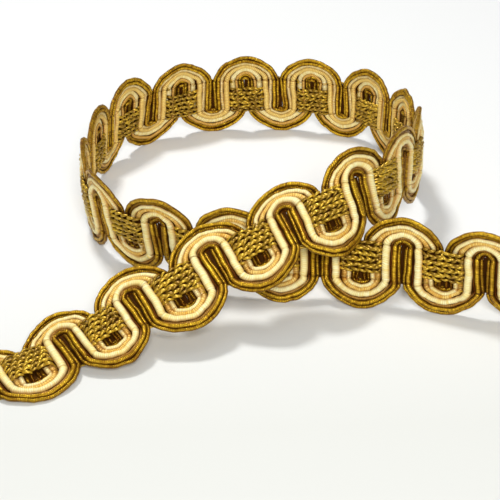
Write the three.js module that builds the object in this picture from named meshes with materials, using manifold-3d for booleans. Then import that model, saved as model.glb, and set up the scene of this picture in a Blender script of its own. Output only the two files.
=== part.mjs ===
// A gimp braid trim. A flat pack of silky gimp cords snakes in even arches, and a chain-knit band
// runs along its middle, over the cords' legs on the face at each foot arch and behind them at each
// top arch. A length of it stands on its edge in one open loop, and its near tail leans back and
// climbs over its far tail. Millimetres, +Z up, the floor at z = 0, the origin at the middle of the
// bottom of the box round it.

import * as THREE from "three";
import { mergeVertices } from "three/addons/utils/BufferGeometryUtils.js";
import Module from "manifold-3d";

const wasm = await Module();
wasm.setup();

// The flat braid
const PITCH = 16.8; // from one top arch to the next, along the braid
const LEG_END = 3.8; // from the middle line to where a leg turns into an arch
const TOP_ROUNDNESS = 1.75; // superellipse power, 2 is an ellipse and less is more pointed
const FOOT_ROUNDNESS = 1.6;
const SWAY = 0.35; // how far the band pushes the cords to the face or the back
const FIRST_CUT = -0.25; // the cut ends, in pitches, each at the far end of a leg
const LAST_CUT = 21.75;
const ARCH_ANGLES = [-90, -55, -20, 20, 55, 90]; // degrees round an arch, 0 at its crown
const TIGHT_TURN = 0.3; // turns under this share of half a pitch bend at the crown only

// The pack's cords, from the inside of a top arch to its outside. leg is the distance from the
// arch's middle as a share of half a pitch, top and foot are the crowns' heights, and thick is half
// the thickness there.
const PACK = [
  { name: "inner edge", leg: 0.03, top: 4.45, foot: 10.25, thick: 0 },
  { name: "inner gold pair", leg: 0.09, top: 4.85, foot: 9.75, thick: 0.65 },
  { name: "tan groove", leg: 0.25, top: 5.9, foot: 8.1, thick: 0.4 },
  { name: "cream cords", leg: 0.46, top: 6.95, foot: 6.6, thick: 0.85 },
  { name: "brown groove", leg: 0.75, top: 8.3, foot: 4.8, thick: 0.4 },
  { name: "outer gold pair", leg: 0.91, top: 9.75, foot: 3.9, thick: 0.65 },
  { name: "outer edge", leg: 0.97, top: 10.2, foot: 3.5, thick: 0 },
];

// A patch of the knit band, where it crosses the pack
const PATCH = { halfLength: 4.05, low: -1.9, high: 4.5, root: -0.2, face: 1.1, rib: 0.28, wales: 5 };

// How the braid lies, one row for each top arch: the middle line's place and lift, how far the top
// edge tips towards the face (degrees), and how far the legs slant along the braid.
const LAY = [
  { arch: -2, x: -72.2, y: -77.2, lift: 1.5, lean: -87, skew: 0 },
  { arch: -1, x: -63.2, y: -63.0, lift: 1.3, lean: -88, skew: 0.01 },
  { arch: 0, x: -52.1, y: -51.4, lift: 1.2, lean: -88, skew: 0.05 },
  { arch: 1, x: -37.0, y: -42.8, lift: 3.3, lean: -77, skew: -0.03 },
  { arch: 2, x: -23.6, y: -35.8, lift: 7.6, lean: -69, skew: 0 },
  { arch: 3, x: -8.1, y: -29.2, lift: 13.0, lean: -58, skew: 0.01 },
  { arch: 4, x: 6.9, y: -23.2, lift: 18.2, lean: -62, skew: 0.1 },
  { arch: 5, x: 21.4, y: -15.2, lift: 20.6, lean: -29, skew: 0.12 },
  { arch: 6, x: 31.4, y: 0.3, lift: 18.0, lean: -5, skew: 0.05 },
  { arch: 7, x: 36.9, y: 16.8, lift: 14.5, lean: -1, skew: 0.02 },
  { arch: 8, x: 35.4, y: 33.8, lift: 10.8, lean: 5, skew: 0.05 },
  { arch: 9, x: 28.4, y: 48.3, lift: 10.0, lean: 2, skew: 0.02 },
  { arch: 10, x: 14.9, y: 55.8, lift: 10.0, lean: 3, skew: 0.04 },
  { arch: 11, x: -1.6, y: 57.8, lift: 10.0, lean: 4, skew: 0.02 },
  { arch: 12, x: -18.1, y: 55.3, lift: 10.0, lean: -3, skew: -0.06 },
  { arch: 13, x: -31.1, y: 45.3, lift: 10.0, lean: -2, skew: -0.15 },
  { arch: 14, x: -37.1, y: 29.8, lift: 10.0, lean: -3, skew: -0.12 },
  { arch: 15, x: -38.1, y: 13.3, lift: 10.0, lean: 1, skew: -0.15 },
  { arch: 16, x: -33.1, y: -2.2, lift: 10.0, lean: 4, skew: -0.17 },
  { arch: 17, x: -20.1, y: -13.2, lift: 10.0, lean: 3, skew: -0.09 },
  { arch: 18, x: -4.6, y: -18.7, lift: 9.8, lean: -11, skew: -0.15 },
  { arch: 19, x: 12.9, y: -19.7, lift: 8.9, lean: -29, skew: -0.05 },
  { arch: 20, x: 29.4, y: -24.4, lift: 9.6, lean: -17, skew: -0.01 },
  { arch: 21, x: 45.4, y: -30.0, lift: 10.0, lean: -2, skew: -0.04 },
  { arch: 22, x: 61.9, y: -34.1, lift: 10.0, lean: 3, skew: -0.02 },
  { arch: 23, x: 78.4, y: -37.1, lift: 10.0, lean: 2, skew: -0.01 },
];
const SETTLE = 0.28; // how far each arch that stands on the floor is pressed flat

const HALF_PITCH = PITCH / 2;
const FIRST_ARCH = 2 * FIRST_CUT + 0.5; // counted in half pitches, even ones tops and odd ones feet
const LAST_ARCH = 2 * LAST_CUT - 0.5;

// A column of LAY at a place along the braid, with its slope, on a Catmull-Rom curve.
function along(column, arch) {
  const row = Math.floor(arch) - LAY[0].arch;
  const t = arch - Math.floor(arch);
  const [before, from, to, after] = [-1, 0, 1, 2].map((step) => LAY[row + step][column]);
  const square = 2 * before - 5 * from + 4 * to - after;
  const cube = 3 * from - before - 3 * to + after;
  return {
    value: 0.5 * (2 * from + (to - before) * t + square * t * t + cube * t * t * t),
    slope: 0.5 * (to - before + 2 * square * t + 3 * cube * t * t),
  };
}

// The frame of the braid at a place along it: its middle, and the ways along, across and out.
function stationAt(arch) {
  const [x, y, lift] = ["x", "y", "lift"].map((column) => along(column, arch));
  const lean = THREE.MathUtils.degToRad(along("lean", arch).value);
  const forward = new THREE.Vector3(x.slope, y.slope, lift.slope).normalize();
  const up = new THREE.Vector3(0, 0, 1).addScaledVector(forward, -forward.z).normalize();
  const side = new THREE.Vector3().crossVectors(forward, up);
  const across = up.clone().multiplyScalar(Math.cos(lean)).addScaledVector(side, Math.sin(lean));
  return {
    middle: new THREE.Vector3(x.value, y.value, lift.value - SETTLE),
    leg: across.clone().addScaledVector(forward, along("skew", arch).value),
    out: new THREE.Vector3().crossVectors(forward, across),
  };
}

// A point of the flat braid, along it, across it and out of its face, where it lies.
function lay(distance, height, depth) {
  const station = stationAt(distance / PITCH);
  return station.middle.addScaledVector(station.leg, height).addScaledVector(station.out, depth);
}

// One cord's place in the flat braid, at an angle round an arch.
function cordPoint(cord, arch, angle) {
  const isTop = arch % 2 === 0;
  const share = isTop ? cord.leg : 1 - cord.leg;
  const turned = THREE.MathUtils.degToRad(share < TIGHT_TURN ? 90 * Math.round(angle / 90) : angle);
  const side = Math.sin(turned);
  const rise = Math.max(0, Math.cos(turned));
  const power = 2 / (isTop ? TOP_ROUNDNESS : FOOT_ROUNDNESS);
  const crown = isTop ? cord.top : cord.foot;
  const height = LEG_END + (crown - LEG_END) * rise ** power;
  return {
    distance: arch * HALF_PITCH + Math.sign(side) * Math.abs(side) ** power * share * HALF_PITCH,
    height: isTop ? height : -height,
    sway: SWAY * (1 - 2 * cord.leg) * (share < 0.5 ? 1 : side * side),
    thick: cord.thick,
  };
}

// The pack's section there, its face from the inner to the outer edge and then its back. A cut
// section is at a leg's other end.
function packSection(arch, angle, isCut = false) {
  const face = PACK.map((cord) => cordPoint(cord, arch, angle));
  const back = face.slice(1, -1).reverse();
  const place = (point, side) =>
    lay(point.distance, isCut ? -point.height : point.height, point.sway + side * point.thick);
  return [...face.map((point) => place(point, 1)), ...back.map((point) => place(point, -1))];
}

// A closed solid through a row of like sections. The outline is a section's flat shape, clockwise
// as seen against the way the row runs.
function loft(sections, outline) {
  const size = outline.length;
  const last = (sections.length - 1) * size;
  const points = sections.flat();
  const triangles = [];
  const addTriangle = (a, b, c) => {
    const hasArea = [[a, b], [b, c], [c, a]].every(([i, j]) => points[i].distanceTo(points[j]) > 1e-3);
    if (hasArea) triangles.push(a, b, c);
  };
  for (let start = 0; start < last; start += size) {
    for (let i = 0; i < size; i += 1) {
      const a = start + i;
      const b = start + ((i + 1) % size);
      addTriangle(a, a + size, b);
      addTriangle(b, a + size, b + size);
    }
  }
  THREE.ShapeUtils.triangulateShape(outline, []).forEach(([a, b, c]) => {
    addTriangle(c, b, a);
    addTriangle(last + a, last + b, last + c);
  });
  return solidOf(new THREE.BufferGeometry().setFromPoints(points).setIndex(triangles));
}

// The solid of a geometry, its shared points merged.
function solidOf(geometry) {
  const bare = new THREE.BufferGeometry();
  bare.setAttribute("position", geometry.getAttribute("position"));
  bare.setIndex(geometry.getIndex());
  const merged = mergeVertices(bare, 1e-4);
  return new wasm.Manifold(
    new wasm.Mesh({
      numProp: 3,
      vertProperties: merged.attributes.position.array,
      triVerts: new Uint32Array(merged.index.array),
    }),
  );
}

// The pack of cords, from one cut end to the other.
function packSolid() {
  const sections = [packSection(FIRST_ARCH, -90, true)];
  for (let arch = FIRST_ARCH; arch <= LAST_ARCH; arch += 1) {
    ARCH_ANGLES.forEach((angle) => sections.push(packSection(arch, angle)));
  }
  sections.push(packSection(LAST_ARCH, 90, true));
  const outline = [
    ...PACK.map((cord) => new THREE.Vector2(cord.leg, cord.thick)),
    ...PACK.slice(1, -1).reverse().map((cord) => new THREE.Vector2(cord.leg, -cord.thick)),
  ];
  return loft(sections, outline);
}

// A patch of the band over one arch, with a rib for each wale. It lies on the face over a foot
// arch, and turned half round on the back over a top arch.
function patchSolid(arch) {
  const turn = arch % 2 === 0 ? -1 : 1;
  const steps = 2 * PATCH.wales;
  const ribs = Array.from({ length: steps + 1 }, (_, i) => {
    const height = THREE.MathUtils.lerp(PATCH.low, PATCH.high, i / steps);
    return new THREE.Vector2(height, PATCH.face + (i % 2 === 0 ? 0 : PATCH.rib));
  });
  const roots = [PATCH.high, PATCH.low].map((height) => new THREE.Vector2(height, PATCH.root));
  const outline = [...ribs, ...roots];
  const section = (distance) => outline.map((p) => lay(distance, turn * p.x, turn * p.y));
  const middle = arch * HALF_PITCH;
  return loft([section(middle - PATCH.halfLength), section(middle + PATCH.halfLength)], outline);
}

// All that is under the floor, which presses the standing arches flat.
function underfloor() {
  const [width, depth] = [400, 20];
  return solidOf(new THREE.BoxGeometry(width, width, depth).translate(0, 0, -depth / 2));
}

// The pack with every patch of the band joined on, as one solid.
function braidMesh() {
  let solid = packSolid();
  for (let arch = FIRST_ARCH; arch <= LAST_ARCH; arch += 1) {
    solid = solid.add(patchSolid(arch));
  }
  const made = solid.subtract(underfloor()).getMesh();
  const geometry = new THREE.BufferGeometry();
  geometry.setAttribute("position", new THREE.BufferAttribute(made.vertProperties, 3));
  geometry.setIndex(new THREE.BufferAttribute(made.triVerts, 1));
  geometry.computeVertexNormals();
  const material = new THREE.MeshStandardMaterial({ color: "#b58a2e", roughness: 0.45, metalness: 0 });
  const mesh = new THREE.Mesh(geometry, material);
  mesh.name = "braid";
  return mesh;
}

const trim = new THREE.Group();
trim.add(braidMesh());

export default trim;
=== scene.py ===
"""The looks of a gimp braid trim: a length of scroll gimp in an open loop, its near tail over its far tail.

The braid is modelled flat and straight, as it leaves the braiding machine, and is then laid where the
frame's solid lies. In the flat braid x runs along it, y across it and z out of its face.
"""

import logging
import math
from dataclasses import dataclass
from enum import Enum
from typing import Sequence

import bpy
import numpy as np
from mathutils import Matrix, Vector, noise

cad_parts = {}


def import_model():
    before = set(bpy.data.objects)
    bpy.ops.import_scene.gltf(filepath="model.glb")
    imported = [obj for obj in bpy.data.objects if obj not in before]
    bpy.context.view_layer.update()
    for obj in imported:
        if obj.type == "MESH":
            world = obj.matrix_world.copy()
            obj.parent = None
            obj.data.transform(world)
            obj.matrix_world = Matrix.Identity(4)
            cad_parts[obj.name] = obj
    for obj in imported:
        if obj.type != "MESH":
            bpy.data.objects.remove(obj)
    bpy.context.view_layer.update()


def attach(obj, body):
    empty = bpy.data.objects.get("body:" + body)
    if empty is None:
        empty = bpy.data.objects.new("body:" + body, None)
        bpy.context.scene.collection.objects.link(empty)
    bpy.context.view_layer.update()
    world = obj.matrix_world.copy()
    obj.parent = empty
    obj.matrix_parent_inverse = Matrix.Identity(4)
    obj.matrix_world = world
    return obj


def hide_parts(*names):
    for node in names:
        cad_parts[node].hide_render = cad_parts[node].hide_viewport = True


LOG = logging.getLogger("gimp braid")
MM = 0.001
SEED = 4127
FRAME_PIXELS = 500
DRIFT_GAP = 31.7  # between the noise's layers that give a drift's three parts
WRAP_MAP = "wrap"  # the cords' own map: u runs along the cord and v once round it
U_LENGTH = 100.0  # the millimetres of cord in one u
CREASE = "crease"  # 1 in the fold where an arch meets its leg
SHADE = "sunk"  # how deep in shade a cord lies between its neighbours
FLANK = "flank"  # painted shade on a cord's sides, highest half way down them
TURNED = "turned"  # 1 on a cord's back and 0 on its face
TONE = "tone"  # each stitch's own lightness

Colour = tuple[float, float, float]


def from_srgb(red: int, green: int, blue: int) -> Colour:
    """Turns a colour of 0 to 255 into a linear one.

    Args:
        red, green, blue: the colour as seen on a screen.

    Returns:
        The linear colour, each channel from 0 to 1.
    """
    def channel(value: int) -> float:
        """Returns one channel, linear."""
        share = value / 255
        return share / 12.92 if share <= 0.04045 else ((share + 0.055) / 1.055) ** 2.4

    return channel(red), channel(green), channel(blue)


def drift(x: float, y: float, z: float) -> Vector:
    """Finds a smooth, small displacement at a place, the same in every run.

    Args:
        x, y, z: the place, in steps of the noise.

    Returns:
        A vector with parts of about -0.5 to 0.5.
    """
    return Vector([noise.noise(Vector((x, y, z + DRIFT_GAP * axis))) for axis in range(3)])


def points_of(mesh: bpy.types.Mesh) -> np.ndarray:
    """Reads where a mesh's vertices are.

    Args:
        mesh: the mesh.

    Returns:
        A row of x, y and z in metres for each vertex.
    """
    flat = np.empty(len(mesh.vertices) * 3)
    mesh.vertices.foreach_get("co", flat)
    return flat.reshape(-1, 3)


def thicken(piece: bpy.types.Object, thick: float) -> None:
    """Gives a sheet its thickness, half of it on each side.

    Args:
        piece: the sheet.
        thick: its thickness in millimetres.
    """
    solidify = piece.modifiers.new("thickness", "SOLIDIFY")
    solidify.thickness = thick * MM
    solidify.offset = 0
    bpy.ops.object.modifier_apply(modifier=solidify.name)


def repeat(piece: bpy.types.Object, count: int, step: tuple[float, float]) -> None:
    """Repeats a piece's mesh in a row.

    Args:
        piece: the piece.
        count: how many there are in the row.
        step: from one to the next, along and across the braid in millimetres.
    """
    array = piece.modifiers.new("row", "ARRAY")
    array.count = count
    array.use_relative_offset = False
    array.use_constant_offset = True
    array.constant_offset_displace = (step[0] * MM, step[1] * MM, 0)
    bpy.ops.object.modifier_apply(modifier=array.name)


def thin_plate(
    name: str, divisions: tuple[int, int], size: tuple[float, float], thick: float
) -> bpy.types.Object:
    """Makes a flat plate at the origin.

    Args:
        name: the piece's name.
        divisions: its faces along and across the braid.
        size: its length along and its breadth across the braid, in millimetres.
        thick: its thickness in millimetres.

    Returns:
        The plate.
    """
    bpy.ops.object.select_all(action="DESELECT")
    bpy.ops.mesh.primitive_grid_add(x_subdivisions=divisions[0], y_subdivisions=divisions[1], size=MM)
    piece = bpy.context.object
    piece.name = name
    bpy.ops.object.mode_set(mode="EDIT")
    bpy.ops.mesh.select_all(action="SELECT")
    bpy.ops.transform.resize(value=(*size, 1))
    bpy.ops.object.mode_set(mode="OBJECT")
    thicken(piece, thick)
    return piece


# How the braid lies


@dataclass(frozen=True)
class StripLay:
    """How the flat braid lies, as the solid does. Lengths are in millimetres."""

    width: float = 20.0
    filled: float = 0.8  # how much of its rectangle the scalloped strip fills
    pitch: float = 16.8  # from one top arch to the next
    leg_end: float = 3.8  # from the middle line to where a leg turns into an arch
    top_roundness: float = 1.75  # superellipse power: 2 is an ellipse and less is more pointed
    foot_roundness: float = 1.6
    settle: float = 0.28  # how far each arch that stands on the floor is pressed flat
    first_cut: float = -0.25  # the cut ends, in pitches, each at the far end of a leg
    last_cut: float = 21.75
    first_row: int = -2  # the top arch of the first row
    # x, y, lift, lean in degrees and skew, a row for each top arch
    rows: tuple[tuple[float, float, float, float, float], ...] = (
        (-72.2, -77.2, 1.5, -87, 0),
        (-63.2, -63.0, 1.3, -88, 0.01),
        (-52.1, -51.4, 1.2, -88, 0.05),
        (-37.0, -42.8, 3.3, -77, -0.03),
        (-23.6, -35.8, 7.6, -69, 0),
        (-8.1, -29.2, 13.0, -58, 0.01),
        (6.9, -23.2, 18.2, -62, 0.1),
        (21.4, -15.2, 20.6, -29, 0.12),
        (31.4, 0.3, 18.0, -5, 0.05),
        (36.9, 16.8, 14.5, -1, 0.02),
        (35.4, 33.8, 10.8, 5, 0.05),
        (28.4, 48.3, 10.0, 2, 0.02),
        (14.9, 55.8, 10.0, 3, 0.04),
        (-1.6, 57.8, 10.0, 4, 0.02),
        (-18.1, 55.3, 10.0, -3, -0.06),
        (-31.1, 45.3, 10.0, -2, -0.15),
        (-37.1, 29.8, 10.0, -3, -0.12),
        (-38.1, 13.3, 10.0, 1, -0.15),
        (-33.1, -2.2, 10.0, 4, -0.17),
        (-20.1, -13.2, 10.0, 3, -0.09),
        (-4.6, -18.7, 9.8, -11, -0.15),
        (12.9, -19.7, 8.9, -29, -0.05),
        (29.4, -24.4, 9.6, -17, -0.01),
        (45.4, -30.0, 10.0, -2, -0.04),
        (61.9, -34.1, 10.0, 3, -0.02),
        (78.4, -37.1, 10.0, 2, -0.01),
    )

    @property
    def half_pitch(self) -> float:
        """From a top arch to the next foot arch, in millimetres."""
        return self.pitch / 2

    @property
    def arches(self) -> range:
        """The arches, counted in half pitches: even ones are tops and odd ones are feet."""
        return range(round(2 * self.first_cut + 0.5), round(2 * self.last_cut - 0.5) + 1)

    def side_arches(self, is_front: bool) -> list[int]:
        """Returns the arches with their patch of knit on the face, or those with it on the back."""
        return [arch for arch in self.arches if (arch % 2 == 1) == is_front]

    @property
    def length(self) -> float:
        """From cut end to cut end along the middle, in millimetres."""
        return (self.last_cut - self.first_cut) * self.pitch

    def lay(self, flat: np.ndarray) -> np.ndarray:
        """Lays points of the flat braid where the braid lies.

        Args:
            flat: one row of distance, height and depth in metres for each point.

        Returns:
            The laid points in metres, none of them under the floor.
        """
        rows = np.array(self.rows, float)
        flat_mm = flat / MM
        place = flat_mm[:, 0] / self.pitch - self.first_row
        row = np.clip(np.floor(place).astype(int), 1, len(rows) - 3)
        t = (place - row)[:, None]
        before, start, end, after = (rows[row + step] for step in (-1, 0, 1, 2))
        square = 2 * before - 5 * start + 4 * end - after
        cube = 3 * start - before - 3 * end + after
        value = 0.5 * (2 * start + (end - before) * t + square * t**2 + cube * t**3)
        slope = 0.5 * (end - before + 2 * square * t + 3 * cube * t**2)

        forward = slope[:, :3] / np.linalg.norm(slope[:, :3], axis=1, keepdims=True)
        up = np.array([0.0, 0.0, 1.0]) - forward * forward[:, 2:3]
        up /= np.linalg.norm(up, axis=1, keepdims=True)
        side = np.cross(forward, up)
        lean = np.radians(value[:, 3:4])
        across = up * np.cos(lean) + side * np.sin(lean)
        out = np.cross(forward, across)
        middle = value[:, :3] - np.array([0.0, 0.0, self.settle])
        laid = middle + (across + value[:, 4:5] * forward) * flat_mm[:, 1:2] + out * flat_mm[:, 2:3]
        laid[:, 2] = np.maximum(laid[:, 2], 0.0)
        return laid * MM

    def lay_piece(self, piece: bpy.types.Object) -> None:
        """Lays a flat piece's mesh in place.

        Args:
            piece: the mesh object, still flat and at the origin.
        """
        mesh = piece.data
        mesh.vertices.foreach_set("co", self.lay(points_of(mesh)).ravel())
        mesh.update()


# The flat braid's cords


class Finish(Enum):
    """The yarns that the braid is made of."""

    GOLD = "gold_silk"
    CREAM = "cream_silk"
    HONEY = "honey_silk"
    TAN = "tan_silk"
    KNIT = "olive_gold_yarn"
    GROUND = "shaded_ground"


@dataclass(frozen=True)
class Course:
    """A size of a cord that changes along its way: at top crowns, in the legs and at foot crowns."""

    top: float
    leg: float
    foot: float

    def at(self, is_top: bool, toward_leg: float) -> float:
        """Returns the size between a crown, where toward_leg is 0, and a leg, where it is 1."""
        crown = self.top if is_top else self.foot
        return crown + (self.leg - crown) * toward_leg


@dataclass(frozen=True)
class GimpCord:
    """One wrapped cord of the pack, sizes in millimetres. Heights are those of its centre line."""

    name: str
    finish: Finish
    top_reach: float  # half its top arch's width, as a share of half a pitch
    foot_reach: float  # half its foot arch's width, likewise
    top: float  # the crown of its top arch
    foot: float  # the crown of its foot arch
    depth: Course
    thick: Course
    sunk: Course  # how deep in shade it lies between its neighbours, from 0 to 1
    ring_steps: int = 2  # how round its section is: 2 gives eight sides

    def crown(self, is_top: bool) -> float:
        """Returns the crown's height over the middle line."""
        return self.top if is_top else self.foot

    def reach(self, is_top: bool) -> float:
        """Returns half the arch's width as a share of half a pitch."""
        return self.top_reach if is_top else self.foot_reach


# From the inside of a top arch to its outside: the reaches and crowns of its top and foot arches,
# then its depth, its thickness and its shade.
CORDS = (
    GimpCord("inner_gold_cord", Finish.GOLD, 0.090, 0.945, 4.40, 9.50,
             Course(-0.50, 0.05, 0.00), Course(0.75, 0.80, 0.80), Course(0.95, 0.45, 0.25)),
    GimpCord("second_gold_cord", Finish.GOLD, 0.190, 0.840, 5.12, 8.62,
             Course(0.00, 0.42, 0.32), Course(0.80, 0.98, 0.90), Course(0.40, 0.0, 0.0)),
    GimpCord("tan_cord", Finish.TAN, 0.285, 0.745, 5.75, 7.85,
             Course(-0.15, -0.35, -0.10), Course(0.85, 0.80, 0.80), Course(0.58, 0.95, 0.45)),
    GimpCord("wide_cream_cord", Finish.CREAM, 0.392, 0.608, 6.50, 6.85,
             Course(0.15, 0.42, 0.20), Course(1.18, 1.66, 1.24), Course(0.0, 0.0, 0.0), 4),
    GimpCord("honey_cord", Finish.HONEY, 0.595, 0.410, 7.25, 5.90,
             Course(-0.05, -0.30, -0.05), Course(1.00, 1.45, 1.05), Course(0.05, 0.35, 0.05), 3),
    GimpCord("fine_cream_cord", Finish.CREAM, 0.745, 0.305, 7.95, 5.10,
             Course(0.15, -0.05, 0.10), Course(0.85, 1.05, 0.85), Course(0.0, 0.2, 0.0)),
    GimpCord("third_gold_cord", Finish.GOLD, 0.850, 0.185, 8.72, 4.30,
             Course(-0.15, -0.42, -0.45), Course(0.82, 0.84, 0.82), Course(0.62, 0.7, 0.15)),
    GimpCord("outer_gold_cord", Finish.GOLD, 0.945, 0.090, 9.52, 3.60,
             Course(0.05, -0.05, -0.60), Course(0.86, 0.80, 0.84), Course(0.0, 0.85, 0.40)),
)


@dataclass
class CordPath:
    """A cord's centre line in the flat braid, one entry for each ring, lengths in millimetres."""

    points: list[tuple[float, float, float]]
    radii: list[float]
    creases: list[float]
    shades: list[tuple[float, float]]  # on the face and on the back

    @staticmethod
    def empty() -> "CordPath":
        """Returns a path with no rings yet."""
        return CordPath([], [], [], [])

    def add(
        self, point: tuple[float, float, float], radius: float, crease: float, shade: tuple[float, float]
    ) -> None:
        """Adds a ring.

        Args:
            point: its centre's distance, height and depth in millimetres.
            radius: its radius in millimetres.
            crease: how far it lies in the fold where an arch meets a leg, from 0 to 1.
            shade: how deep in shade it lies on the face and on the back, from 0 to 1.
        """
        self.points.append(point)
        self.radii.append(radius)
        self.creases.append(crease)
        self.shades.append(shade)


@dataclass
class CordPack:
    """The eight gimp cords side by side, as they meander through the braid."""

    lay: StripLay
    ring_spacing: float = 0.7
    leg_heights: tuple[float, ...] = (3.72, 3.4, 2.4, 1.2, 0.0, -1.2, -2.4, -3.4, -3.72)
    fewest_steps: int = 8  # round the smallest arch
    crease_pinch: float = 0.26
    crease_reach: float = 0.34
    crease_dip: float = 0.26
    leg_crease: float = 0.45
    leg_crease_reach: float = 0.16
    wander: float = 0.25
    shared_wave: float = 0.35  # waves in a millimetre
    shared_part: float = 0.8
    own_wave: float = 0.9
    own_part: float = 0.6
    own_gap: float = 9.1  # between the noise's layers of two cords
    arch_jitter: float = 0.3
    arch_gap: float = 3.7  # between the noise's places of two arches
    back_shade: float = 0.45
    low_flank: float = 0.6  # the shade on a cord's lower flank, as a share of the upper one's

    def arch_point(self, cord: GimpCord, arch: int, angle: float) -> tuple[float, float, float]:
        """Finds the centre line on an arch.

        Args:
            cord: the cord.
            arch: which arch, in half pitches.
            angle: the angle round the arch in radians, 0 at its crown.

        Returns:
            Distance, height and depth in millimetres.
        """
        is_top = arch % 2 == 0
        power = 2 / (self.lay.top_roundness if is_top else self.lay.foot_roundness)
        side, rise = math.sin(angle), max(0.0, math.cos(angle))
        reach = cord.reach(is_top) * self.lay.half_pitch
        distance = arch * self.lay.half_pitch + math.copysign(abs(side) ** power, side) * reach
        jitter = self.arch_jitter * noise.noise(Vector((arch * self.arch_gap, 1.5, 0)))
        height = self.lay.leg_end + (cord.crown(is_top) + jitter - self.lay.leg_end) * rise**power
        return distance, height if is_top else -height, cord.depth.at(is_top, side**4)

    def leg_distance(self, cord: GimpCord, arch: int, side: int, height: float) -> float:
        """Finds how far along the braid a leg is at a height, in millimetres.

        Args:
            cord: the cord.
            arch: the arch that the leg hangs from, in half pitches.
            side: -1 for the leg before the arch and 1 for the leg after it.
            height: the height over the middle line.

        Returns:
            The distance along the braid.
        """
        is_top = arch % 2 == 0
        here = arch + side * cord.reach(is_top)
        there = arch + side * (1 - cord.reach(not is_top))
        away = 0.5 - (0.5 if is_top else -0.5) * height / self.lay.leg_end
        return (here + (there - here) * away) * self.lay.half_pitch

    def _wandered(self, point: tuple[float, float, float], index: int) -> tuple[float, float, float]:
        """Moves a point a little, as handled braid is never quite even.

        Args:
            point: distance, height and depth in millimetres.
            index: the cord's number in the pack.

        Returns:
            The moved point.
        """
        shared = drift(point[0] * self.shared_wave, point[1] * self.shared_wave, 0.5)
        own = drift(point[0] * self.own_wave, point[1] * self.own_wave, self.own_gap * index + 3)
        moved = Vector(point) + (shared * self.shared_part + own * self.own_part) * self.wander
        return tuple(moved)

    def path(self, cord: GimpCord, index: int) -> CordPath:
        """Follows one cord from cut end to cut end.

        The braid's back is its face turned over, so a cord's back lies in shade as the face of its
        twin does, the cord that takes its place when the braid is turned.

        Args:
            cord: the cord.
            index: its number in the pack.

        Returns:
            Its centre line.
        """
        path = CordPath.empty()
        arches = self.lay.arches
        self._add_leg(path, cord, index, arches[0], -1, 1 if arches[0] % 2 == 0 else -1)
        for arch in arches:
            self._add_arch(path, cord, index, arch)
            self._add_leg(path, cord, index, arch, 1, -1 if arch % 2 == 0 else 1)
        return path

    def _add_arch(self, path: CordPath, cord: GimpCord, index: int, arch: int) -> None:
        """Adds the rings of an arch. At both its ends it comes out from under the leg.

        Args:
            path: the path to add to.
            cord: the cord.
            index: its number in the pack.
            arch: which arch, in half pitches.
        """
        is_top = arch % 2 == 0
        turn = math.pi * cord.reach(is_top) * self.lay.half_pitch
        steps = max(self.fewest_steps, round(turn / self.ring_spacing))
        for step in range(steps + 1):
            angle = math.pi * (step / steps - 0.5)
            toward_leg = abs(math.sin(angle)) ** 6
            from_end = (math.pi / 2 - abs(angle)) * turn / math.pi
            crease = math.exp(-((from_end / self.crease_reach) ** 2))
            distance, height, depth = self.arch_point(cord, arch, angle)
            face = 1 if cord.depth.leg > 0 else -1
            dipped = (distance, height, depth - self.crease_dip * crease * face)
            radius = cord.thick.at(is_top, toward_leg) / 2 * (1 - self.crease_pinch * crease)
            near_leg = toward_leg**3
            twin = self.back_shade * CORDS[-1 - index].sunk.at(not is_top, near_leg)
            shade = (cord.sunk.at(is_top, near_leg), twin)
            path.add(self._wandered(dipped, index), radius, crease, shade)

    def _add_leg(self, path: CordPath, cord: GimpCord, index: int, arch: int, side: int, runs: int) -> None:
        """Adds the rings of a straight leg.

        Args:
            path: the path to add to.
            cord: the cord.
            index: its number in the pack.
            arch: the arch that the leg hangs from, in half pitches.
            side: -1 for the leg before the arch and 1 for the leg after it.
            runs: 1 where the cord runs up the leg and -1 where it runs down.
        """
        lay = self.lay
        for stop in self.leg_heights:
            end_round = math.exp(-(((lay.leg_end - abs(stop)) / self.leg_crease_reach) ** 2))
            radius = cord.thick.leg / 2 * (1 - 0.5 * self.crease_pinch * end_round)
            height = -runs * stop
            distance = self.leg_distance(cord, arch, side, height)
            point = self._wandered((distance, height, cord.depth.leg), index)
            shade = (cord.sunk.leg, self.back_shade * CORDS[-1 - index].sunk.leg)
            path.add(point, radius, self.leg_crease * end_round, shade)

    def build(self, cord: GimpCord, index: int) -> bpy.types.Object:
        """Makes one cord as a swept tube and lays it.

        Args:
            cord: the cord.
            index: its number in the pack.

        Returns:
            The finished mesh object.
        """
        path = self.path(cord, index)
        bpy.ops.object.select_all(action="DESELECT")
        bpy.ops.curve.primitive_nurbs_path_add()
        piece = bpy.context.object
        piece.name = cord.name
        curve = piece.data
        curve.splines.clear()
        spline = curve.splines.new("POLY")
        spline.points.add(len(path.points) - 1)
        centre = np.ones((len(path.points), 4))
        centre[:, :3] = np.array(path.points) * MM
        spline.points.foreach_set("co", centre.ravel())
        spline.points.foreach_set("radius", np.array(path.radii) * MM)
        curve.dimensions = "3D"
        curve.twist_mode = "Z_UP"
        curve.bevel_depth = 1.0
        curve.bevel_resolution = cord.ring_steps
        bpy.ops.object.convert(target="MESH")
        self._map_wrap(piece, path)
        self._note_places(piece, path)
        bpy.ops.object.mode_set(mode="EDIT")
        bpy.ops.mesh.select_all(action="SELECT")
        bpy.ops.mesh.fill_holes(sides=0)
        bpy.ops.mesh.select_all(action="SELECT")
        bpy.ops.mesh.normals_make_consistent(inside=False)
        bpy.ops.object.mode_set(mode="OBJECT")
        bpy.ops.object.shade_smooth()
        self.lay.lay_piece(piece)
        return piece

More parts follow.
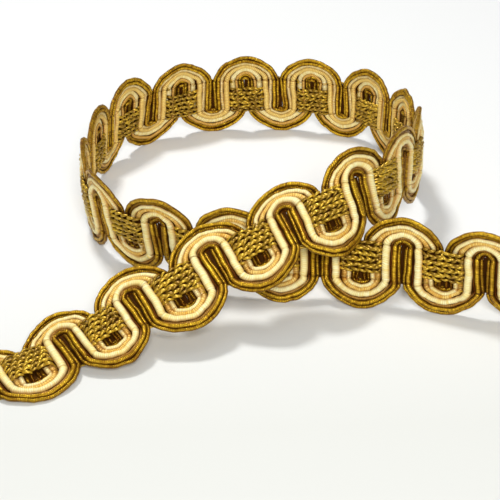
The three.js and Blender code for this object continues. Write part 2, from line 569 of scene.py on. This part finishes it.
    def _map_wrap(self, piece: bpy.types.Object, path: CordPath) -> None:
        """Maps the wrapping's run onto a flat cord: along it, and once round it.

        Args:
            piece: the swept cord.
            path: its centre line.
        """
        mesh = piece.data
        rings = len(path.points)
        sides = len(mesh.vertices) // rings
        centre = np.array(path.points)
        run = np.concatenate([[0.0], np.cumsum(np.linalg.norm(np.diff(centre, axis=0), axis=1))])
        corner = np.empty(len(mesh.loops), int)
        mesh.loops.foreach_get("vertex_index", corner)
        ring, place = corner // sides, corner % sides
        around = place / sides
        totals = np.empty(len(mesh.polygons), int)
        starts = np.empty(len(mesh.polygons), int)
        mesh.polygons.foreach_get("loop_total", totals)
        mesh.polygons.foreach_get("loop_start", starts)
        wall = starts[totals == 4][:, None] + np.arange(4)
        crosses = (place[wall] == sides - 1).any(axis=1) & (place[wall] == 0).any(axis=1)
        seam = wall[crosses]
        around[seam.ravel()] += place[seam.ravel()] == 0
        uv = np.stack([run[ring] / U_LENGTH, around], axis=1)
        mesh.uv_layers.new(name=WRAP_MAP).data.foreach_set("uv", uv.ravel())

    def _note_places(self, piece: bpy.types.Object, path: CordPath) -> None:
        """Keeps on a flat cord what its material needs to know of each point.

        Args:
            piece: the swept cord.
            path: its centre line.
        """
        mesh = piece.data
        rings = len(path.points)
        sides = len(mesh.vertices) // rings
        depths = points_of(mesh).reshape(rings, sides, 3)[:, :, 2] / MM
        lift = depths - np.array(path.points)[:, None, 2]
        lift /= np.array(path.radii)[:, None]
        # Painted shade on each cord's sides, less on the lower side; on its back it takes the painted shade
        # of its twin's face.
        upper = np.clip(lift * 2 + self.low_flank, 0, 1)
        flank = (1 - np.clip(np.abs(lift), 0, 1)) * (self.low_flank + (1 - self.low_flank) * upper)
        faces_out = np.clip(lift + 0.5, 0, 1)
        shades = np.array(path.shades)
        shade = shades[:, :1] * faces_out + shades[:, 1:] * (1 - faces_out)
        for name, values in (
            (CREASE, np.repeat(np.array(path.creases), sides)),
            (SHADE, shade.ravel()),
            (FLANK, flank.ravel()),
            (TURNED, 1 - faces_out.ravel()),
        ):
            mesh.attributes.new(name, "FLOAT", "POINT").data.foreach_set("value", values)


@dataclass
class BraidGround:
    """The ground that joins the cords, a thin closed sheet along the pack: partly their sewing thread,
    partly a dark sheet of painted shade down between them.
    """

    pack: CordPack
    arch_steps: int = 14
    leg_steps: int = 3
    thick: float = 0.24

    def build(self) -> bpy.types.Object:
        """Makes the sheet from a grid whose rows follow the cords, and lays it.

        Returns:
            The finished mesh object.
        """
        columns = self._columns()
        rows = len(CORDS)
        bpy.ops.object.select_all(action="DESELECT")
        bpy.ops.mesh.primitive_grid_add(x_subdivisions=rows - 1, y_subdivisions=len(columns) - 1, size=1)
        piece = bpy.context.object
        piece.name = "braid_ground"
        flat = np.array(columns, float).reshape(-1, 3) * MM
        piece.data.vertices.foreach_set("co", flat.ravel())
        thicken(piece, self.thick)
        bpy.ops.object.shade_smooth()
        self.pack.lay.lay_piece(piece)
        return piece

    def _columns(self) -> list[list[tuple[float, float, float]]]:
        """Follows the pack from cut end to cut end.

        Returns:
            A column of points across the pack for each step along it, in millimetres.
        """
        lay = self.pack.lay
        stops = [lay.leg_end * (1 - 2 * step / self.leg_steps) for step in range(1, self.leg_steps + 1)]
        first, last = lay.arches[0], lay.arches[-1]
        first_sign, last_sign = (1 if arch % 2 == 0 else -1 for arch in (first, last))
        columns = [self._leg_column(first, -1, first_sign * stop) for stop in reversed(stops)]
        for arch in lay.arches:
            for step in range(self.arch_steps + 1):
                angle = math.pi * (step / self.arch_steps - 0.5)
                columns.append([self.pack.arch_point(cord, arch, angle) for cord in CORDS])
            sign = 1 if arch % 2 == 0 else -1
            columns += [self._leg_column(arch, 1, sign * stop) for stop in stops[:-1]]
        columns.append(self._leg_column(last, 1, last_sign * stops[-1]))
        return columns

    def _leg_column(self, arch: int, side: int, height: float) -> list[tuple[float, float, float]]:
        """Finds a column of points across the legs on one side of an arch.

        Args:
            arch: which arch, in half pitches.
            side: -1 for the legs before the arch and 1 for the legs after it.
            height: the height over the middle line in millimetres.

        Returns:
            A point on each cord.
        """
        return [
            (self.pack.leg_distance(cord, arch, side, height), height, cord.depth.leg) for cord in CORDS
        ]


@dataclass
class EyeShadePlates:
    """A dark thin plate in the eye of every tight turn, painted shade where the eye lies in shadow."""

    lay: StripLay
    width: float = 0.85
    top_reach: float = 4.05
    foot_reach: float = 3.85
    thick: float = 0.2
    under: float = 0.22
    rows: int = 6

    def build(self, name: str) -> bpy.types.Object:
        """Makes one plate, repeats it in every arch and lays them all.

        Args:
            name: the piece's name.

        Returns:
            The finished mesh object.
        """
        arches = self.lay.arches
        piece = thin_plate(name, (1, self.rows), (self.width, 1), self.thick)
        repeat(piece, len(arches), (self.lay.half_pitch, 0))
        mesh = piece.data
        plates = points_of(mesh).reshape(len(arches), -1, 3) / MM
        for arch, plate in zip(arches, plates):
            reach, sign = (self.top_reach, 1) if arch % 2 == 0 else (self.foot_reach, -1)
            plate[:, 0] += arches[0] * self.lay.half_pitch
            plate[:, 1] = sign * (plate[:, 1] + 0.5) * reach
            plate[:, 2] = plate[:, 2] * sign - self.under
        mesh.vertices.foreach_set("co", (plates * MM).ravel())
        bpy.ops.object.mode_set(mode="EDIT")
        bpy.ops.mesh.select_all(action="SELECT")
        bpy.ops.mesh.normals_make_consistent(inside=False)
        bpy.ops.object.mode_set(mode="OBJECT")
        self.lay.lay_piece(piece)
        return piece


# The knit band


@dataclass
class KnitPatches:
    """The chain-knit band where it crosses the pack: one stitch, a wale of them, a patch of wales."""

    lay: StripLay
    wales: int = 5
    stitches: int = 6
    stitch_pitch: float = 1.50
    wale_pitch: float = 1.24
    middle: float = 1.15  # the patch's own middle line over the braid's
    height: float = 0.95
    leaf_length: float = 2.1
    leaf_width: float = 0.66
    leaf_thick: float = 0.52
    tail_reach: float = 0.13
    head_reach: float = 0.60
    leaf_steps: int = 6
    leaf_bow: float = 0.30  # how far the leaf's middle stands up
    leaf_sink: float = 0.34  # how far its two ends go down
    leaf_tilt: float = 0.10
    turn_spread: float = 0.17  # of the stitches' own turns, radians
    size_spread: float = 0.09
    shift_spread: float = 0.07
    dip_from: float = 3.5
    dip_over: float = 1.1
    dip: float = 1.0
    edge_drop: float = 0.22

    def dips(self, along: np.ndarray) -> np.ndarray:
        """Returns how far the band goes down at distances along from a patch's middle, in mm."""
        past = np.clip((np.abs(along) - self.dip_from) / self.dip_over, 0, 1)
        return self.dip * past**2 * (3 - 2 * past)

    def _stitch(self, name: str) -> bpy.types.Object:
        """Models one chain stitch: two leaves of yarn that spread from its tail to its head.

        Args:
            name: the piece's name.

        Returns:
            The stitch, flat, with its head towards +x.
        """
        bpy.ops.object.select_all(action="DESELECT")
        bpy.ops.mesh.primitive_uv_sphere_add(
            segments=self.leaf_steps, ring_count=self.leaf_steps, radius=1.0, rotation=(0, math.pi / 2, 0)
        )
        bpy.ops.object.transform_apply(location=False, rotation=True, scale=False)
        piece = bpy.context.object
        piece.name = name
        self._shape_leaf(piece)
        mirror = piece.modifiers.new("other_leaf", "MIRROR")
        mirror.use_axis = (False, True, False)
        mirror.use_mirror_merge = False
        bpy.ops.object.modifier_apply(modifier=mirror.name)
        return piece

    def _shape_leaf(self, piece: bpy.types.Object) -> None:
        """Draws a ball of radius 1 out into a leaf whose two ends go down into the band.

        Args:
            piece: the ball.
        """
        for vertex in piece.data.vertices:
            along = max(-1.0, min(1.0, vertex.co.x))
            head = (along + 1) / 2
            aside = self.tail_reach + (self.head_reach - self.tail_reach) * math.sin(head * math.pi / 2)
            bow = self.leaf_bow * math.cos(along * math.pi / 2)
            rise = bow - self.leaf_sink * along**2 + self.leaf_tilt * along
            vertex.co = Vector((
                along * self.leaf_length / 2,
                aside + vertex.co.y * self.leaf_width / 2,
                rise + vertex.co.z * self.leaf_thick / 2,
            )) * MM

    def build(self, name: str, is_front: bool) -> bpy.types.Object:
        """Makes all patches of one side of the braid and lays them.

        Args:
            name: the piece's name.
            is_front: the face's patches over the foot arches, or the back's over the top arches.

        Returns:
            The finished mesh object.
        """
        piece = self._stitch(name)
        per_stitch = len(piece.data.vertices)
        arches = self.lay.side_arches(is_front)
        repeat(piece, self.stitches, (self.stitch_pitch, 0))
        repeat(piece, self.wales, (0, self.wale_pitch))
        repeat(piece, len(arches), (self.lay.pitch, 0))
        self._place(piece, per_stitch, arches, is_front)
        bpy.ops.object.shade_smooth()
        self.lay.lay_piece(piece)
        return piece

    def _place(
        self, piece: bpy.types.Object, per_stitch: int, arches: Sequence[int], is_front: bool
    ) -> None:
        """Gives every stitch its own small turn and shift, curves the patches and puts them in place.

        Args:
            piece: the arrayed stitches, flat.
            per_stitch: the vertices of one stitch.
            arches: the arches that carry a patch.
            is_front: which side of the braid they are on.
        """
        draw = np.random.default_rng(SEED + is_front)
        mesh = piece.data
        loops = points_of(mesh).reshape(len(arches), self.wales, self.stitches, per_stitch, 3) / MM
        shape = loops.shape[:3]
        patch_starts = np.arange(len(arches)) * self.lay.pitch
        loops[..., 0] -= patch_starts[:, None, None, None]
        loops[..., 0] -= (self.stitches - 1) * self.stitch_pitch / 2
        loops[..., 1] -= (self.wales - 1) * self.wale_pitch / 2
        loops[:, 0::2, :, :, 0] -= self.stitch_pitch / 4
        loops[:, 1::2, :, :, 0] += self.stitch_pitch / 4

        centre = loops.mean(axis=3, keepdims=True)
        arm = loops - centre
        turn = draw.normal(0, self.turn_spread, shape)[..., None]
        scale = draw.normal(1, self.size_spread, shape)[..., None]
        spun_x = arm[..., 0] * np.cos(turn) - arm[..., 1] * np.sin(turn)
        spun_y = arm[..., 0] * np.sin(turn) + arm[..., 1] * np.cos(turn)
        loops = centre + np.stack([spun_x, spun_y, arm[..., 2]], axis=-1) * scale[..., None]
        loops += draw.normal(0, self.shift_spread, (*shape, 1, 3))

        across = loops[..., 1] / (self.wales * self.wale_pitch / 2)
        loops[..., 2] += self.height - self.dips(loops[..., 0]) - self.edge_drop * across**4
        loops[..., 1] += self.middle
        if not is_front:
            loops[..., 1:] *= -1
        loops[..., 0] += (np.array(arches) * self.lay.half_pitch)[:, None, None, None]
        mesh.vertices.foreach_set("co", (loops * MM).ravel())
        mesh.update()
        tone = mesh.attributes.new(TONE, "FLOAT", "POINT")
        tone.data.foreach_set("value", np.repeat(draw.uniform(0, 1, int(np.prod(shape))), per_stitch))


@dataclass
class BandLining:
    """The knit band's dense underside, dark with painted shade, a thin plate under every patch of one side.
    """

    patches: KnitPatches
    length: float = 8.4
    inset: float = 0.3  # how much narrower it is than its patch
    steps: tuple[int, int] = (12, 6)
    thick: float = 0.16
    under: float = 0.50

    def build(self, name: str, is_front: bool) -> bpy.types.Object:
        """Makes all linings of one side and lays them.

        Args:
            name: the piece's name.
            is_front: whether they lie under the face's patches or under the back's.

        Returns:
            The finished mesh object.
        """
        patches = self.patches
        lay = patches.lay
        breadth = patches.wales * patches.wale_pitch - self.inset
        piece = thin_plate(name, self.steps, (self.length, breadth), self.thick)
        arches = lay.side_arches(is_front)
        repeat(piece, len(arches), (lay.pitch, 0))
        mesh = piece.data
        plates = points_of(mesh).reshape(len(arches), -1, 3) / MM
        plates[..., 0] -= (np.arange(len(arches)) * lay.pitch)[:, None]
        plates[..., 2] += patches.height - self.under - patches.dips(plates[..., 0])
        plates[..., 1] += patches.middle
        if not is_front:
            plates[..., 1:] *= -1
        plates[..., 0] += (np.array(arches) * lay.half_pitch)[:, None]
        mesh.vertices.foreach_set("co", (plates * MM).ravel())
        mesh.update()
        lay.lay_piece(piece)
        return piece


# Materials


class Signal:
    """A shader socket that can be used in Python sums. Each sum adds its Math node."""

    def __init__(self, board: "MaterialBoard", socket: bpy.types.NodeSocket) -> None:
        """Wraps a socket of a board's material."""
        self.board = board
        self.socket = socket

    def _sum(self, operation: str, first: object, second: object = 0.0) -> "Signal":
        """Returns the result of one Math node."""
        made = self.board.node("ShaderNodeMath", {"operation": operation}, {0: first, 1: second})
        return Signal(self.board, made.outputs[0])

    def __add__(self, other: object) -> "Signal":
        """Returns self + other."""
        return self._sum("ADD", self, other)

    __radd__ = __add__

    def __mul__(self, other: object) -> "Signal":
        """Returns self * other."""
        return self._sum("MULTIPLY", self, other)

    __rmul__ = __mul__

    def __sub__(self, other: object) -> "Signal":
        """Returns self - other."""
        return self._sum("SUBTRACT", self, other)

    def __rsub__(self, other: object) -> "Signal":
        """Returns other - self."""
        return self._sum("SUBTRACT", other, self)

    def __pow__(self, other: object) -> "Signal":
        """Returns self to the power of other."""
        return self._sum("POWER", self, other)

    def fraction(self) -> "Signal":
        """Returns the part after the point."""
        return self._sum("FRACT", self)


class MaterialBoard:
    """One procedural material on a Principled shader."""

    def __init__(self, name: str, constants: dict[str, object]) -> None:
        """Starts a material.

        Args:
            name: the finish's name.
            constants: the shader's sockets that are the same all over.
        """
        self.material = bpy.data.materials.new(name)
        self.material.use_nodes = True
        self.tree = self.material.node_tree
        self.shader = self.tree.nodes["Principled BSDF"]
        for key, value in constants.items():
            self.shader.inputs[key].default_value = value

    def node(self, kind: str, settings: dict[str, object], inputs: dict[object, object]) -> bpy.types.Node:
        """Adds a node.

        Args:
            kind: the node's type.
            settings: its own settings, set first.
            inputs: values or links for its sockets, by name or number.

        Returns:
            The node.
        """
        made = self.tree.nodes.new(kind)
        for key, value in settings.items():
            setattr(made, key, value)
        for key, value in inputs.items():
            if isinstance(value, Signal):
                self.tree.links.new(value.socket, made.inputs[key])
            elif isinstance(value, bpy.types.NodeSocket):
                self.tree.links.new(value, made.inputs[key])
            else:
                made.inputs[key].default_value = value
        return made

    def signal(
        self, kind: str, settings: dict[str, object], inputs: dict[object, object], output: object = 0
    ) -> Signal:
        """Adds a node and returns one of its outputs."""
        return Signal(self, self.node(kind, settings, inputs).outputs[output])

    def mix(self, factor: Signal, low: object, high: object) -> Signal:
        """Mixes two colours by a factor."""
        made = self.node("ShaderNodeMix", {"data_type": "RGBA"}, {0: factor, 6: low, 7: high})
        return Signal(self, made.outputs[2])

    def feed(self, socket: str, value: Signal) -> None:
        """Links a varying value to the shader."""
        self.tree.links.new(value.socket, self.shader.inputs[socket])

    def noise(self, vector: Signal, scale: float, detail: float = 2.0) -> Signal:
        """Adds a noise texture and returns its value."""
        return self.signal("ShaderNodeTexNoise", {}, {"Vector": vector, "Scale": scale, "Detail": detail})

    def ranged(self, value: Signal, low: float, high: float, at_low: float, at_high: float) -> Signal:
        """Maps the span from low to high onto the one from at_low to at_high."""
        inputs = {0: value, 1: low, 2: high, 3: at_low, 4: at_high}
        return self.signal("ShaderNodeMapRange", {}, inputs)

    def attribute(self, name: str) -> Signal:
        """Reads a number that the mesh keeps for each point."""
        return self.signal("ShaderNodeAttribute", {"attribute_name": name}, {}, "Fac")

    def place(self) -> Signal:
        """Returns the place on the piece in metres."""
        return self.signal("ShaderNodeTexCoord", {}, {}, "Object")

    def parts(self, vector: Signal) -> list[Signal]:
        """Returns a vector's three parts."""
        return [Signal(self, part) for part in self.node("ShaderNodeSeparateXYZ", {}, {0: vector}).outputs]

    def relief(self, height: Signal, strength: float, depth: float) -> None:
        """Raises the surface by a height, where 1 is a depth in millimetres."""
        inputs = {"Height": height, "Strength": strength, "Distance": depth * MM}
        self.feed("Normal", self.signal("ShaderNodeBump", {}, inputs))


def opaque(colour: Colour) -> tuple[float, float, float, float]:
    """Returns a colour with its alpha."""
    return (*colour, 1.0)


@dataclass(frozen=True)
class WrappedSilk:
    """A cord wrapped in fine silk-bright thread, each turn a small round rib across it."""

    light: Colour
    body: Colour
    shade: Colour  # between the turns of the wrapping
    deep_shade: Colour  # painted shade down between the cords, on their sides and in the folds
    metallic: float
    roughness: float
    gap: float = 0.72  # how far the shade shows between the turns
    painted_back_light: float = 0.0  # painted light: how much paler the cord's back is than its face
    rib: float = 0.39  # from one turn of the wrapping to the next, mm
    uneven_scale: float = 160.0
    uneven_turns: float = 5.0
    patch_scale: float = 240.0
    streak_scale: float = 0.9
    sunk_metallic: float = 0.95
    flank_shade: float = 0.95
    crease_shade: float = 0.42
    gap_roughness: float = 0.14
    streak_roughness: float = 0.08
    rib_height: float = 0.09  # mm

    def make(self, name: str) -> bpy.types.Material:
        """Makes the material.

        Args:
            name: the material's name.

        Returns:
            The material.
        """
        board = MaterialBoard(name, {"Specular IOR Level": 0.3, "IOR": 1.5})
        place = board.place()
        wrap = board.signal("ShaderNodeUVMap", {"uv_map": WRAP_MAP}, {}, "UV")
        along, around, _ = board.parts(wrap)
        uneven = board.noise(place, self.uneven_scale)
        turns = along * (U_LENGTH / self.rib) + around + uneven * self.uneven_turns
        part = turns.fraction()
        middle = part * 2 - 1
        ridge = 1 - middle * middle
        thread_place = {0: turns - part, 1: around * 0.8, 2: part * 0.7}
        thread = board.signal("ShaderNodeCombineXYZ", {}, thread_place)
        streak = board.noise(thread, self.streak_scale, 3.0)
        patchy = board.noise(place, self.patch_scale)
        sunk = board.attribute(SHADE)

        tone = board.ranged(streak * 0.9 + patchy * 0.4, 0.48, 0.82, 0.0, 1.0)
        # Painted shade: darker between the turns of the wrapping, on the cords' sides, where they sink
        # between their neighbours and in the folds where arches meet legs.
        between = board.ranged(ridge, 0.05, 0.75, self.gap, 0.0)
        painted_flank_shade = board.ranged(board.attribute(FLANK), 0.08, 0.95, 0.0, self.flank_shade)
        painted_crease_shade = board.attribute(CREASE) * self.crease_shade
        colour = board.mix(tone, opaque(self.body), opaque(self.light))
        # Painted light: the cord's back is made paler than its face.
        colour = board.mix(board.attribute(TURNED) * self.painted_back_light, colour, opaque(self.light))
        colour = board.mix(between, colour, opaque(self.shade))
        for mask in (painted_flank_shade, sunk, painted_crease_shade):
            colour = board.mix(mask, colour, opaque(self.deep_shade))
        board.feed("Base Color", colour)
        # In painted shade the silk turns metallic, so that its reflection takes the dark painted colour.
        board.feed("Metallic", sunk * (self.sunk_metallic - self.metallic) + self.metallic)
        rough = self.roughness + (1 - ridge) * self.gap_roughness + streak * self.streak_roughness
        board.feed("Roughness", rough)
        board.relief(ridge * 0.8 + streak * 0.4, 1.0, self.rib_height)
        return board.material


@dataclass(frozen=True)
class ChainYarn:
    """The knit band's glossy two-ply yarn."""

    light: Colour
    body: Colour
    shade: Colour
    metallic: float
    roughness: float
    fibre_scale: float = 2600.0
    broad_scale: float = 500.0
    fibre_height: float = 0.05  # mm

    def make(self, name: str) -> bpy.types.Material:
        """Makes the material.

        Args:
            name: the material's name.

        Returns:
            The material.
        """
        board = MaterialBoard(name, {"Metallic": self.metallic, "Specular IOR Level": 0.6})
        place = board.place()
        own = board.attribute(TONE)
        fibre = board.noise(place, self.fibre_scale, 3.0)
        broad = board.noise(place, self.broad_scale)
        tone = board.ranged(own * 0.35 + fibre * 0.6 + broad * 0.4, 0.4, 0.95, 0.0, 1.0)
        colour = board.mix(tone, opaque(self.body), opaque(self.light))
        colour = board.mix((1 - own) * 0.3, colour, opaque(self.shade))
        board.feed("Base Color", colour)
        board.feed("Roughness", self.roughness + fibre * 0.2)
        board.relief(fibre, 0.5, self.fibre_height)
        return board.material


@dataclass(frozen=True)
class ShadedGround:
    """Dark sewing thread down between the cords, darkened as painted shade; it also fills the eyes and the
    knit band's underside with painted shade.
    """

    light: Colour
    dark: Colour
    fibre_scale: float = 3200.0
    fibre_height: float = 0.06  # mm

    def make(self, name: str) -> bpy.types.Material:
        """Makes the material.

        Args:
            name: the material's name.

        Returns:
            The material.
        """
        board = MaterialBoard(name, {"Specular IOR Level": 0.05})
        fibre = board.noise(board.place(), self.fibre_scale, 3.0)
        board.feed("Base Color", board.mix(fibre, opaque(self.dark), opaque(self.light)))
        board.feed("Roughness", fibre * 0.2 + 0.7)
        board.relief(fibre, 0.6, self.fibre_height)
        return board.material


FINISHES = {
    Finish.GOLD: WrappedSilk(
        light=from_srgb(246, 200, 46), body=from_srgb(162, 112, 8), shade=from_srgb(76, 38, 0),
        deep_shade=from_srgb(80, 33, 0), metallic=0.55, roughness=0.22,
    ),
    Finish.CREAM: WrappedSilk(
        light=from_srgb(255, 249, 194), body=from_srgb(246, 222, 134), shade=from_srgb(214, 166, 66),
        deep_shade=from_srgb(186, 122, 24), metallic=0.0, roughness=0.24, gap=0.5,
    ),
    Finish.HONEY: WrappedSilk(
        light=from_srgb(252, 222, 128), body=from_srgb(226, 170, 60), shade=from_srgb(172, 108, 16),
        deep_shade=from_srgb(146, 78, 2), metallic=0.1, roughness=0.28, painted_back_light=0.6,
    ),
    Finish.TAN: WrappedSilk(
        light=from_srgb(240, 192, 96), body=from_srgb(202, 144, 50), shade=from_srgb(132, 78, 14),
        deep_shade=from_srgb(88, 38, 2), metallic=0.1, roughness=0.36, painted_back_light=0.5,
    ),
    Finish.KNIT: ChainYarn(
        light=from_srgb(228, 188, 56), body=from_srgb(146, 106, 14), shade=from_srgb(66, 40, 0),
        metallic=0.5, roughness=0.24,
    ),
    Finish.GROUND: ShadedGround(light=from_srgb(74, 40, 6), dark=from_srgb(30, 13, 0)),
}


# The set


@dataclass(frozen=True)
class PaleFloor:
    """A plain pale surface under the braid, a little darker on its -Y side with painted shade where the
    light falls off. Lengths are in metres.
    """

    side: float = 6.0
    near_edge: float = -0.065
    far_edge: float = 0.0
    near: Colour = from_srgb(219, 220, 215)
    far: Colour = from_srgb(234, 235, 234)

    def build(self) -> bpy.types.Object:
        """Makes the floor.

        Returns:
            The floor.
        """
        bpy.ops.object.select_all(action="DESELECT")
        bpy.ops.mesh.primitive_plane_add(size=self.side)
        floor = bpy.context.object
        floor.name = "pale_floor"
        board = MaterialBoard("pale_floor", {"Roughness": 0.85, "Specular IOR Level": 0.1})
        away = board.ranged(board.parts(board.place())[1], self.near_edge, self.far_edge, 0.0, 1.0)
        board.feed("Base Color", board.mix(away, opaque(self.near), opaque(self.far)))
        floor.data.materials.append(board.material)
        return floor


@dataclass(frozen=True)
class SoftLight:
    """A large soft lamp, places and size in metres."""

    name: str
    place: tuple[float, float, float]
    size: float
    power: float  # watts
    target: tuple[float, float, float] = (0.0, 0.0, 0.01)

    def build(self) -> None:
        """Makes the lamp and turns it to its target."""
        data = bpy.data.lights.new(self.name, "AREA")
        data.shape = "DISK"
        data.size = self.size
        data.energy = self.power
        lamp = bpy.data.objects.new(self.name, data)
        bpy.context.scene.collection.objects.link(lamp)
        lamp.location = self.place
        lamp.rotation_euler = (Vector(self.target) - lamp.location).to_track_quat("-Z", "Y").to_euler()


@dataclass(frozen=True)
class Studio:
    """The pale room, its lamps and the camera, places in metres."""

    world: float = 0.19
    lamps: tuple[SoftLight, ...] = (
        SoftLight("overhead", (0.0, 0.12, 0.80), 0.8, 1.1),
        SoftLight("key", (-0.12, 0.24, 0.55), 0.10, 2.15),
        SoftLight("front", (0.05, -0.54, 0.41), 0.22, 3.25),
    )
    camera_place: tuple[float, float, float] = (-0.0016, -0.2822, 0.1695)
    look_down: float = 31.15  # degrees
    roll: float = 1.29  # degrees
    focal_pixels: float = 1490.0
    sensor: float = 36.0
    nearest: float = 0.01

    def build(self) -> None:
        """Makes the world, the lamps, the floor and the camera."""
        scene = bpy.context.scene
        scene.view_settings.view_transform = "Standard"
        world = bpy.data.worlds.new("pale_room")
        world.use_nodes = True
        background = world.node_tree.nodes["Background"]
        background.inputs["Color"].default_value = (1.0, 1.0, 1.0, 1.0)
        background.inputs["Strength"].default_value = self.world
        scene.world = world
        for lamp in self.lamps:
            lamp.build()
        PaleFloor().build()
        self._camera()

    def _camera(self) -> None:
        """Stands the camera where the photograph was taken from."""
        data = bpy.data.cameras.new("view")
        data.sensor_width = self.sensor
        data.lens = self.focal_pixels / FRAME_PIXELS * self.sensor
        data.clip_start = self.nearest
        camera = bpy.data.objects.new("view", data)
        bpy.context.scene.collection.objects.link(camera)
        down, roll = math.radians(self.look_down), math.radians(self.roll)
        level = Vector((1, 0, 0))
        rise = Vector((0, math.sin(down), math.cos(down)))
        right = level * math.cos(roll) - rise * math.sin(roll)
        up = level * math.sin(roll) + rise * math.cos(roll)
        axes = Matrix((right, up, right.cross(up))).transposed()
        camera.matrix_world = Matrix.Translation(self.camera_place) @ axes.to_4x4()
        bpy.context.scene.camera = camera


# The whole braid


def dress(piece: bpy.types.Object, materials: dict[Finish, bpy.types.Material], finish: Finish) -> None:
    """Gives a piece its finish and its place in the frame.

    Args:
        piece: the finished mesh object.
        materials: the made materials.
        finish: which of them it takes.
    """
    piece.data.materials.clear()
    piece.data.materials.append(materials[finish])
    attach(piece, "root")
    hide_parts("braid")
    LOG.info("%s: %d vertices", piece.name, len(piece.data.vertices))


def main() -> None:
    logging.basicConfig(level=logging.INFO)
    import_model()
    bpy.ops.object.select_all(action="DESELECT")
    materials = {finish: recipe.make(finish.value) for finish, recipe in FINISHES.items()}

    lay = StripLay()
    pack = CordPack(lay)
    ground = BraidGround(pack).build()
    dress(ground, materials, Finish.GROUND)
    on_ground = []
    for index, cord in enumerate(CORDS):
        piece = pack.build(cord, index)
        dress(piece, materials, cord.finish)
        on_ground.append(piece)
    eye_plates = EyeShadePlates(lay).build("painted_eye_shade")
    dress(eye_plates, materials, Finish.GROUND)
    on_ground.append(eye_plates)
    patches = KnitPatches(lay)
    lining = BandLining(patches)
    for side, is_front in (("face", True), ("back", False)):
        piece = patches.build(f"knit_band_{side}", is_front)
        dress(piece, materials, Finish.KNIT)
        under = lining.build(f"knit_lining_{side}", is_front)
        dress(under, materials, Finish.GROUND)
        on_ground += [piece, under]
    Studio().build()


if __name__ == "__main__":
    main()
